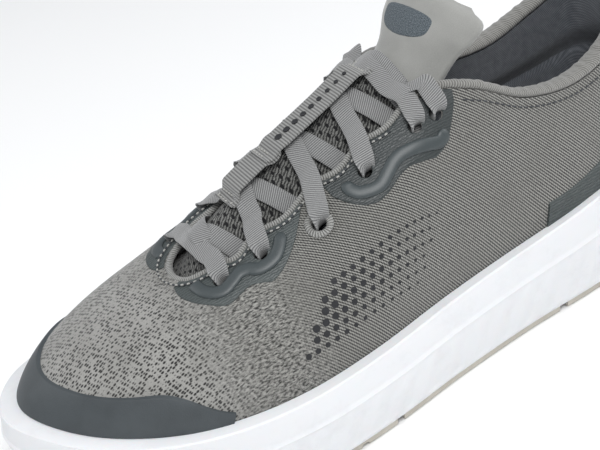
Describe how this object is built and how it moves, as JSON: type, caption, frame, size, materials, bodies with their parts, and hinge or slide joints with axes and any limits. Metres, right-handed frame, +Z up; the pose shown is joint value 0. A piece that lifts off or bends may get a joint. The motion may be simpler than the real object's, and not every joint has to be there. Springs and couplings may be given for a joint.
{
  "type": "running shoe",
  "caption": "Cushioned left running shoe with a knitted mesh upper, padded tongue, flat woven laces through reinforced eyelets, thick foam midsole and a segmented rubber outsole.",
  "frame": {"origin": "on the ground plane, under the middle of the shoe's box", "axes": "+X to the toe, +Y to the outer (lateral) side of the foot, +Z up"},
  "size_m": [0.2982, 0.1124, 0.1395],
  "materials": {
    "midsole_foam": "moulded foam, satin white",
    "outsole_rubber": "matte moulded rubber, warm grey",
    "engineered_mesh": "fine knitted mesh, warm grey with a diagonal pinstripe",
    "lining_knit": "soft brushed knit, dark grey",
    "film": "thin fused film, slate blue-grey, satin",
    "bead_film": "raised fused bead, smooth slate",
    "rolled_binding": "woven rolled binding, light grey",
    "padding_foam": "open-cell foam",
    "board": "non-woven board",
    "stiffener": "thin thermoplastic sheet",
    "tongue_mesh": "open mesh, dark grey",
    "brushed_knit": "smooth brushed knit, light grey",
    "webbing": "ribbed woven webbing",
    "patch": "coarse dark blue-grey weave",
    "lace": "flat woven lace, mid grey",
    "aglet": "clear-coated sleeve",
    "sockliner_cloth": "knit cloth over foam"
  },
  "bodies": {
    "root": {"midsole": "midsole_foam", "outsole_toe": "outsole_rubber", "outsole_forefoot_lateral": "outsole_rubber", "outsole_forefoot_medial": "outsole_rubber", "outsole_midfoot_lateral": "outsole_rubber", "outsole_heel_lateral": "outsole_rubber", "outsole_heel_medial": "outsole_rubber", "strobel_board": "board", "upper_mesh": "engineered_mesh", "lining": "lining_knit", "heel_counter": "stiffener", "toe_puff": "stiffener", "collar_padding": "padding_foam", "toe_bumper": "film", "heel_overlay": "film", "throat_piping": "rolled_binding", "collar_binding": "rolled_binding", "shoelace": "lace", "aglet_lateral": "aglet", "aglet_medial": "aglet", "film_front_lateral": "film", "bead_front_lateral": "bead_film", "film_rear_lateral": "film", "bead_rear_lateral": "bead_film", "eyelet_ring_lateral": "rolled_binding", "film_front_medial": "film", "bead_front_medial": "bead_film", "film_rear_medial": "film", "bead_rear_medial": "bead_film", "eyelet_ring_medial": "rolled_binding"},
    "tongue": {"tongue_mesh": "tongue_mesh", "tongue_cap": "brushed_knit", "tongue_foam": "padding_foam", "tongue_lining": "lining_knit", "tongue_patch": "patch", "tongue_strap": "webbing"},
    "sockliner": {"sockliner": "sockliner_cloth"},
    "pull_loop": {"heel_pull_loop": "webbing"}
  },
  "joints": [
    {"name": "tongue_hinge", "type": "hinge", "parent": "root", "child": "tongue", "pos_m": [0.0875, 0, 0.0645], "axis": [0, 1, 0], "range_deg": [-4, 0], "stiffness_Nm_per_rad": 0.6, "deforming": ["shoelace"]},
    {"name": "sockliner_lift", "type": "hinge", "parent": "root", "child": "sockliner", "pos_m": [0.135, 0, 0.032], "axis": [0, 1, 0], "range_deg": [0, 3]},
    {"name": "pull_loop_hinge", "type": "hinge", "parent": "root", "child": "pull_loop", "pos_m": [-0.1455, 0, 0.0862], "axis": [0, 1, 0], "range_deg": [-45, 0], "stiffness_Nm_per_rad": 0.02}
  ]
}
